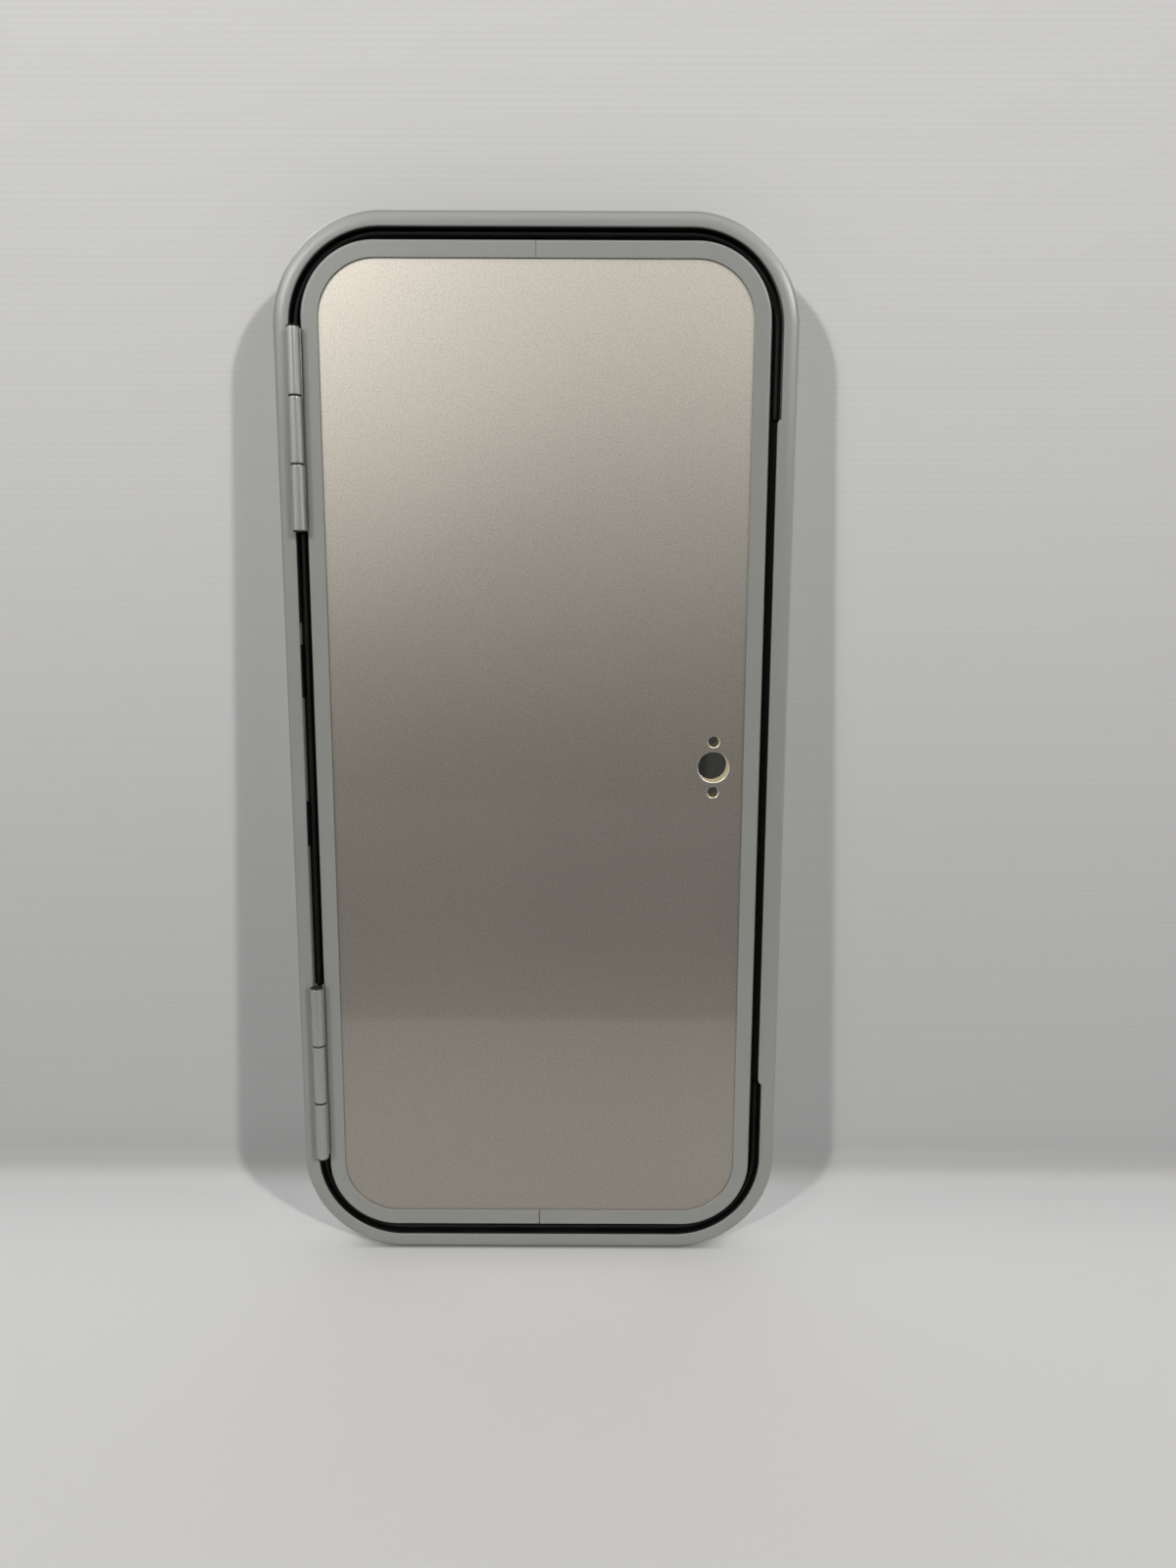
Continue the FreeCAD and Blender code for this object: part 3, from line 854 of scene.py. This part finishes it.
def make_panel(skin_finish, foam_finish, inner_finish):
    """The two sheets and the foam between them."""
    sheet_levels = (
        (LIP_BACK * MM, DEBURR),
        ((LIP_BACK + DEBURR_DEPTH) * MM, DEBURR_FOOT),
        (CORE_FRONT * MM, 0.0),
    )
    mesh = panel_layer("outer_sheet", LIP_BACK, CORE_FRONT, sheet_levels)
    piece("outer_sheet", mesh, skin_finish, "leaf", "champagne_paint", "outer_skin")
    thickness = CORE_BACK - CORE_FRONT
    depths = [CORE_FRONT + thickness * step / FOAM_STEPS for step in range(FOAM_STEPS + 1)]
    levels = [(depth * MM, 0.0) for depth in depths]
    hollows = {depth: SCREW_HOLLOW for depth, _ in levels[HOLLOW_START:-1]}
    mesh = panel_layer("foam_filling", CORE_FRONT, CORE_BACK, levels, FOAM_TEAR, hollows)
    piece("foam_filling", mesh, foam_finish, "leaf", "foam", "foam_core")
    inner_levels = (
        (CORE_BACK * MM, 0.0),
        ((PANEL_BACK - DEBURR_DEPTH) * MM, DEBURR_FOOT),
        (PANEL_BACK * MM, DEBURR),
    )
    mesh = panel_layer("inner_sheet", CORE_BACK, PANEL_BACK, inner_levels)
    piece("inner_sheet", mesh, inner_finish, "leaf", "inner_paint", "inner_skin")


# Strike strip, whose section is in millimetres

STRIP_TIP = 162.1
STRIP_FLUSH = 164.4
STRIP_ROOT = 165.2
STRIP_FRONT = -7.95
STRIP_BACK = -6.2
STRIP_EDGE = 0.4
STRIP_BROKEN_EDGE = 0.1
STRIP_END = 4.0 * MM
STRIP_END_STEPS = 8


def make_strip(finish):
    """A flat strip flush with the frame, rounded at its ends."""
    turns = [math.pi / 2 * step / STRIP_END_STEPS for step in range(STRIP_END_STEPS + 1)]
    ends = [(STRIP_END * (1 - math.cos(turn)), math.sin(turn)) for turn in turns]
    stations = [(STRIP_HALF_LENGTH - inset, share) for inset, share in ends]
    stations += [(inset - STRIP_HALF_LENGTH, share) for inset, share in reversed(ends)]
    rings = []
    for height, share in stations:
        left = STRIP_FLUSH + (STRIP_TIP - STRIP_FLUSH) * share
        corners = (
            (left, STRIP_BACK, STRIP_BROKEN_EDGE),
            (left, STRIP_FRONT, STRIP_EDGE),
            (STRIP_ROOT, STRIP_FRONT, STRIP_BROKEN_EDGE),
            (STRIP_ROOT, STRIP_BACK, STRIP_BROKEN_EDGE),
        )
        rings.append([Vector((point.x * MM, point.y * MM, height)) for point in rounded_section(corners)])
    mesh = shade(lofted("strike_strip_bar", rings))
    piece("strike_strip_bar", mesh, finish, "frame", "grey_paint", "strike_strip")


# Hinges

# Barrels: broken edge, the middle of it as shares along and across, and the flat beside it
BARREL_CHAMFER = 0.3 * MM
BREAK_ALONG = 0.3
BREAK_ACROSS = 0.4
BARREL_FLAT = 0.4 * MM
BARREL_STEPS = 72

# Hinge plates: bore for the pin, broken edges, and how much shorter the arms to the knuckles are
BORE_STEPS = 48
BORE_OVER = 1.0 * MM
PLATE_BEVEL = 0.2 * MM
ARM_SHORT = 0.6 * MM
ARM_PLAY = 0.05 * MM

# Screw heads: radius at the foot and at the face, heights over the plate, and the cross recess
SCREW_FOOT = 1.1 * MM
SCREW_HEAD = 2.2 * MM
SCREW_TOP = 1.9 * MM
SCREW_HEIGHTS = (-1.2 * MM, -0.1 * MM, 0.05 * MM, 0.15 * MM)
SCREW_STEPS = 32
SCREW_TURN = 30.0
RECESS_HALF_WIDTH = 0.28 * MM
RECESS_REACH = 1.25 * MM
RECESS_DEPTHS = (-0.6 * MM, 1.0 * MM)


def barrel(low, high):
    """A knuckle's barrel with broken ends."""
    end = (
        (0.0, BARREL_RADIUS - BARREL_CHAMFER),
        (BREAK_ALONG * BARREL_CHAMFER, BARREL_RADIUS - BREAK_ACROSS * BARREL_CHAMFER),
        (BARREL_CHAMFER, BARREL_RADIUS),
        (BARREL_CHAMFER + BARREL_FLAT, BARREL_RADIUS),
    )
    levels = [(low + inset, radius) for inset, radius in end]
    levels += [(high - inset, radius) for inset, radius in reversed(end)]
    return lofted("barrel", [circle(AXIS, radius, level, BARREL_STEPS) for level, radius in levels])


def hinge_side(name, middle, plate, knuckles):
    """A hinge plate rolled into its knuckles, bored for the pin."""
    low = middle - HINGE_LENGTH / 2
    high = low + HINGE_LENGTH
    mesh = block(name, plate, PLATE_DEPTH, (low, high), PLATE_BEVEL)
    arm_depth = (AXIS[1], PLATE_DEPTH[1] - ARM_SHORT)
    for knuckle in knuckles:
        start = low + knuckle * KNUCKLE_STEP
        end = start + KNUCKLE
        arm = block("arm", plate, arm_depth, (start + ARM_PLAY, end - ARM_PLAY))
        mesh = combined(mesh, arm, "UNION")
        mesh = combined(mesh, barrel(start, end), "UNION")
    bore_ends = (low - BORE_OVER, high + BORE_OVER)
    bore = lofted("bore", [circle(AXIS, PIN_BORE, level, BORE_STEPS) for level in bore_ends])
    return shade(combined(mesh, bore, "DIFFERENCE"))


def make_hinges(finish):
    """Both hinges: two knuckles on the frame's plate and one on the leaf's."""
    for name, middle in HINGE_MIDDLES.items():
        mesh = hinge_side(f"{name}_frame_knuckles", middle, FRAME_PLATE, (0, 2))
        piece(f"{name}_frame_knuckles", mesh, finish, "frame", "grey_paint", f"{name}_hinge_frame_plate")
        mesh = hinge_side(f"{name}_leaf_knuckle", middle, LEAF_PLATE, (1,))
        piece(f"{name}_leaf_knuckle", mesh, finish, "leaf", "grey_paint", f"{name}_hinge_leaf_plate")


def screw_mesh():
    """A countersunk screw head with a cross recess, facing +X from its plate."""
    rings = []
    for level, radius in zip(SCREW_HEIGHTS, (SCREW_FOOT, SCREW_HEAD, SCREW_HEAD, SCREW_TOP)):
        ring = circle((0.0, 0.0), radius, 0.0, SCREW_STEPS)
        rings.append([Vector((level, point.x, point.y)) for point in ring])
    mesh = lofted("screw_head", rings)
    narrow = (-RECESS_HALF_WIDTH, RECESS_HALF_WIDTH)
    wide = (-RECESS_REACH, RECESS_REACH)
    for across, upright in ((narrow, wide), (wide, narrow)):
        mesh = combined(mesh, block("recess", RECESS_DEPTHS, across, upright), "DIFFERENCE")
    return shade(mesh, SCREW_TURN)


def screw_tree():
    """Screw heads in rows, three to a hinge plate, each turned by chance."""
    tree = bpy.data.node_groups.new("hinge_screws", "GeometryNodeTree")
    graph = Graph(tree)
    across = graph.take("Plate Face", "NodeSocketFloat")
    depth = graph.take("Depth", "NodeSocketFloat")
    middle = graph.take("Hinge Height", "NodeSocketFloat")
    pitch = graph.take("Pitch", "NodeSocketFloat")
    facing = graph.take("Facing", "NodeSocketFloat")
    seed = graph.take("Seed", "NodeSocketInt")
    head = graph.take("Head", "NodeSocketObject")
    finish = graph.take("Finish", "NodeSocketMaterial")
    index = graph.add("GeometryNodeInputIndex")
    upper = index < SCREWS_A_PLATE - 0.5
    step = index % float(SCREWS_A_PLATE) - 1.0
    spot = graph.vector(across, depth, middle * (2.0 * upper - 1.0) + pitch * step)
    points = graph.add("GeometryNodePoints", None, {"Count": 2 * SCREWS_A_PLATE, "Position": spot})
    chance = {2: 0.0, 3: math.pi / 2, "Seed": seed}
    twist = graph.add("FunctionNodeRandomValue", {"data_type": "FLOAT"}, chance, 1)
    turn = graph.add("FunctionNodeEulerToRotation", None, {0: graph.vector(twist, 0.0, facing)})
    single = {"Object": head, "As Instance": True}
    source = graph.add("GeometryNodeObjectInfo", None, single, "Geometry")
    placed = {"Points": points, "Instance": source, "Rotation": turn}
    heads = graph.add("GeometryNodeInstanceOnPoints", None, placed)
    heads = graph.add("GeometryNodeRealizeInstances", None, {"Geometry": heads})
    graph.give(graph.add("GeometryNodeSetMaterial", None, {"Geometry": heads, "Material": finish}))
    return tree


def make_screws(finish):
    """The screws of both hinges, one mesh for each body."""
    tree = screw_tree()
    head = link("screw_head", screw_mesh())
    # Body, face of its plate, which way the heads look, and seed
    rows = (("frame", FRAME_PLATE[1], 0.0, 3), ("leaf", LEAF_PLATE[0], math.pi, 8))
    for body, face, facing, seed in rows:
        inputs = {
            "Plate Face": face,
            "Depth": sum(PLATE_DEPTH) / 2,
            "Hinge Height": HINGE_MIDDLES["upper"],
            "Pitch": SCREW_PITCH,
            "Facing": facing,
            "Seed": seed,
            "Head": head,
            "Finish": finish,
        }
        mesh = grown_mesh(f"{body}_hinge_screws", tree, inputs)
        piece(f"{body}_hinge_screws", mesh, finish, body, "pin_steel")
    bpy.data.objects.remove(head)


# Stage, light and camera

FLOOR = -369.5 * MM
LEAN = math.radians(4.2)
WALL_GAP = 98.0 * MM
SWEEP_RADIUS = 25.0 * MM
SWEEP_STEPS = 12
STAGE_HALF_WIDTH = 3.0
FLOOR_REACH = 3.0
WALL_TOP = 3.3
TABLE_EDGE = -0.592

# Backdrop paper: tones, and the heights between which the wall brightens upwards as painted light and turns
# into the floor
WALL_LOW = (0.43, 0.431, 0.435, 1.0)
WALL_HIGH = (0.68, 0.681, 0.686, 1.0)
WALL_RISE = (-0.35, 0.6)
FLOOR_TONE = (0.82, 0.821, 0.824, 1.0)
FLOOR_FADE = (-0.372, -0.35)
PAST_TABLE = (0.012, 0.012, 0.012, 1.0)
PAPER_ROUGHNESS = 0.85

# Ribs of the wall: pitch, strength, and the heights between which they fade out
RIB_PITCH = 4.5 * MM
RIB_STRENGTH = 0.016
RIB_FADE = (-0.35, -0.3)
RIB_SHADE = (0.0, 0.0, 0.0, 1.0)

# Painted shade on the wall behind the hatch: tone, and where it fades sideways and upwards
BEHIND_SHADE_TONE = (0.034, 0.034, 0.033, 1.0)
BEHIND_SIDES = (0.15, 0.176)
BEHIND_ENDS = (0.31, 0.355)

# Painted contact shadow on the floor under the flange: tone, and where it fades in depth, height and sideways
UNDER_SHADOW_TONE = (0.25, 0.25, 0.25, 1.0)
UNDER_DEPTHS = (-8.5 * MM, -4.5 * MM)
UNDER_HEIGHTS = (-0.3685, -0.366)
UNDER_SIDES = (0.1, 0.15)

# Far lights: how far they move across and down on their way back, and strength
SUNS = {"left_sun": (-0.667, 0.45, 0.95), "right_sun": (0.815, 0.52, 1.26)}
SUN_WIDTH = math.radians(3.0)

# Lamps: place and power
LAMPS = {"left_lamp": ((-0.5, -0.9, 0.79), 1.6), "right_lamp": ((0.47, -0.9, 0.79), 0.7)}
LAMP_SIZE = 0.14
LAMP_COLOUR = (1.0, 0.985, 0.96)

# Room that lights matt surfaces: levels, and the directions between which they change
ROOM_LOW = 0.04
ROOM_HIGH = 0.1
ROOM_RISE = (-0.35, 0.6)
ROOM_BACK = 0.85
ROOM_BACK_FADE = (0.0, 0.6)
ROOM_SEEN = (0.5, 0.502, 0.506, 1.0)

# Room that shiny surfaces mirror: the same, with a glow, a bright band of ceiling and three windows
SHINE_LOW = 0.016
SHINE_HIGH = 1.12
SHINE_RISE = (-0.16, 0.35)
SHINE_BACK = 0.8
SHINE_BACK_FADE = (0.1, 0.5)
GLOW = 1.8
GLOW_TOWARDS = (-0.33, -0.84, 0.42)
GLOW_FADE = (0.86, 0.99)
CEILING = 4.6
CEILING_START = (0.5, 0.62)
CEILING_END = (0.78, 0.88)
WINDOW = 1.9
WINDOW_TURNS = (math.radians(-63.0), math.radians(72.0), math.radians(104.0))
WINDOW_FADE = (0.955, 0.98)

CAMERA_PLACE = (0.03498, -0.82764, 0.12868)
CAMERA_TILT = math.radians(80.2583)
CAMERA_ROLL = math.radians(-0.2092)
CAMERA_LENS = 27.0
CAMERA_SENSOR = 36.0


def backdrop_paper():
    """Pale paper, ribbed on the wall, lighter upwards by painted light, with painted shade behind and under
    the hatch, mirrored up to the table's edge.
    """
    made, graph = new_material("backdrop_paper")
    split = graph.add("ShaderNodeSeparateXYZ", None, {0: graph.place()})
    sideways = abs(split)
    depth = split.also("Y")
    height = split.also("Z")
    # Painted light: the wall darker towards the bottom and lighter towards the top
    paper = graph.mix(height.between(*WALL_RISE), WALL_LOW, WALL_HIGH)
    paper = graph.mix(height.between(*FLOOR_FADE), FLOOR_TONE, paper)
    ribs = height.maths("SINE", height * (ALL_ROUND / RIB_PITCH))
    paper = graph.mix(RIB_STRENGTH * (ribs + 1.0) * height.between(*RIB_FADE), paper, RIB_SHADE)
    # Painted shade: the wall dark behind the hatch, where the hatch keeps the light off
    shade_behind_hatch = (1.0 - sideways.between(*BEHIND_SIDES)) * (1.0 - abs(height).between(*BEHIND_ENDS))
    paper = graph.mix(shade_behind_hatch, paper, BEHIND_SHADE_TONE)
    # Painted shadow: a dark strip of floor just under the flange, where it stands on the floor
    contact_shadow = depth.between(*UNDER_DEPTHS) * (1.0 - height.between(*UNDER_HEIGHTS))
    paper = graph.mix(contact_shadow * (1.0 - sideways.between(*UNDER_SIDES)), paper, UNDER_SHADOW_TONE)
    mirrored = graph.add("ShaderNodeLightPath", out="Is Glossy Ray")
    colour = graph.mix(mirrored * (depth < TABLE_EDGE), paper, PAST_TABLE)
    values = {"Base Color": colour, "Roughness": PAPER_ROUGHNESS}
    shader = graph.add("ShaderNodeBsdfPrincipled", None, values)
    clear = graph.add("ShaderNodeBsdfTransparent")
    from_behind = graph.add("ShaderNodeNewGeometry", out="Backfacing")
    seen = graph.add("ShaderNodeMixShader", None, {0: from_behind, 1: shader, 2: clear})
    graph.add("ShaderNodeOutputMaterial", None, {"Surface": seen})
    return made


def make_sheet(name, line, finish):
    """A wide sheet whose side view is a line of depths and heights."""
    shell = bmesh.new()
    sides = (-STAGE_HALF_WIDTH, STAGE_HALF_WIDTH)
    rows = [[shell.verts.new((side, depth, height)) for depth, height in line] for side in sides]
    for index in range(len(line) - 1):
        shell.faces.new((rows[0][index], rows[1][index], rows[1][index + 1], rows[0][index + 1]))
    mesh = bpy.data.meshes.new(name)
    shell.to_mesh(mesh)
    shell.free()
    mesh.shade_smooth()
    mesh.materials.append(finish)
    sheet = link(name, mesh)
    sheet.visible_shadow = False
    return sheet


def stage_spot(forward, up):
    """Depth and height of a place on the stage, which the upright hatch leans back on."""
    depth = -forward * math.cos(LEAN) - up * math.sin(LEAN)
    height = FLOOR - forward * math.sin(LEAN) + up * math.cos(LEAN)
    return depth, height


def make_stage():
    """A floor, and a wall that sweeps up from it."""
    paper = backdrop_paper()
    floor_end = SWEEP_RADIUS - WALL_GAP
    make_sheet("floor", [stage_spot(FLOOR_REACH, 0.0), stage_spot(floor_end, 0.0)], paper)
    wall_line = []
    for step in range(SWEEP_STEPS + 1):
        angle = math.pi / 2 * step / SWEEP_STEPS
        forward = floor_end - SWEEP_RADIUS * math.sin(angle)
        wall_line.append(stage_spot(forward, SWEEP_RADIUS - SWEEP_RADIUS * math.cos(angle)))
    wall_line.append(stage_spot(-WALL_GAP, WALL_TOP))
    wall = make_sheet("wall", wall_line, paper)
    wall.visible_diffuse = False
    wall.visible_glossy = False


def make_lamp(name, location, power):
    """A round lamp that looks at the middle of the hatch."""
    light = bpy.data.lights.new(name, "AREA")
    light.shape = "DISK"
    light.size = LAMP_SIZE
    light.energy = power
    light.color = LAMP_COLOUR
    lamp = link(name, light)
    lamp.location = location
    lamp.rotation_euler = (-Vector(location)).to_track_quat("-Z", "Y").to_euler()


def make_sun(name, slope_across, slope_down, strength):
    """A far light that comes from the front."""
    light = bpy.data.lights.new(name, "SUN")
    light.energy = strength
    light.angle = SUN_WIDTH
    light.color = LAMP_COLOUR
    lamp = link(name, light)
    lamp.rotation_euler = Vector((-slope_across, 1.0, -slope_down)).to_track_quat("-Z", "Y").to_euler()


def make_world():
    """A soft room for matt surfaces, and a room with a ceiling and three windows for shiny ones."""
    world = bpy.data.worlds.new("studio")
    bpy.context.scene.world = world
    world.use_nodes = True
    world.node_tree.nodes.clear()
    graph = Graph(world.node_tree)
    direction = graph.add("ShaderNodeTexCoord", out="Generated")
    split = graph.add("ShaderNodeSeparateXYZ", None, {0: direction})
    backwards = split.also("Y")
    height = split.also("Z")

    def grey(level):
        return (level, level, level, 1.0)

    room = graph.mix(height.between(*ROOM_RISE), grey(ROOM_LOW), grey(ROOM_HIGH))
    room = graph.mix(backwards.between(*ROOM_BACK_FADE), room, grey(ROOM_BACK))
    shine = graph.mix(height.between(*SHINE_RISE), grey(SHINE_LOW), grey(SHINE_HIGH))
    shine = graph.mix(backwards.between(*SHINE_BACK_FADE), shine, grey(SHINE_BACK))
    glow = graph.facing(direction, GLOW_TOWARDS).between(*GLOW_FADE)
    shine = graph.mix(glow, shine, grey(GLOW))
    ceiling = height.between(*CEILING_START) * (1.0 - height.between(*CEILING_END))
    shine = graph.mix(ceiling, shine, grey(CEILING))
    for turn in WINDOW_TURNS:
        towards = (math.sin(turn), -math.cos(turn), 0.0)
        window = graph.facing(direction, towards).between(*WINDOW_FADE)
        shine = graph.mix(window, shine, grey(WINDOW))
    rays = graph.add("ShaderNodeLightPath", out="Is Camera Ray")
    colour = graph.mix(rays.also("Is Glossy Ray"), room, shine)
    colour = graph.mix(rays, colour, ROOM_SEEN)
    light = graph.add("ShaderNodeBackground", None, {"Color": colour, "Strength": 1.0})
    graph.add("ShaderNodeOutputWorld", None, {"Surface": light})


def make_camera():
    """The photograph's camera, as fitted to the outlines of the frame and the leaf."""
    view = bpy.data.cameras.new("camera")
    view.lens = CAMERA_LENS
    view.sensor_width = CAMERA_SENSOR
    camera = link("camera", view)
    camera.location = CAMERA_PLACE
    camera.rotation_euler = (CAMERA_TILT, CAMERA_ROLL, 0.0)
    bpy.context.scene.camera = camera


SWEEP = sweep_tree()
GREY = grey_paint()
RUBBER = seal_rubber()
STEEL = pin_steel()
BLACK = black_plastic()
make_frame(GREY)
make_leaf_edges(GREY)
make_seal(RUBBER)
make_panel(champagne_paint(), cream_foam(), inner_paint())
make_strip(GREY)
make_hinges(hinge_paint())
make_screws(STEEL)
for hinge in HINGE_MIDDLES:
    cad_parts[f"{hinge}_hinge_pin"].data.materials[0] = STEEL
    for end in ("top", "bottom"):
        for part in ("washer", "cap"):
            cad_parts[f"{hinge}_hinge_{part}_{end}"].data.materials[0] = BLACK

make_stage()
for name, values in SUNS.items():
    make_sun(name, *values)
for name, (location, power) in LAMPS.items():
    make_lamp(name, location, power)
make_world()
make_camera()
bpy.context.scene.view_settings.view_transform = "Standard"
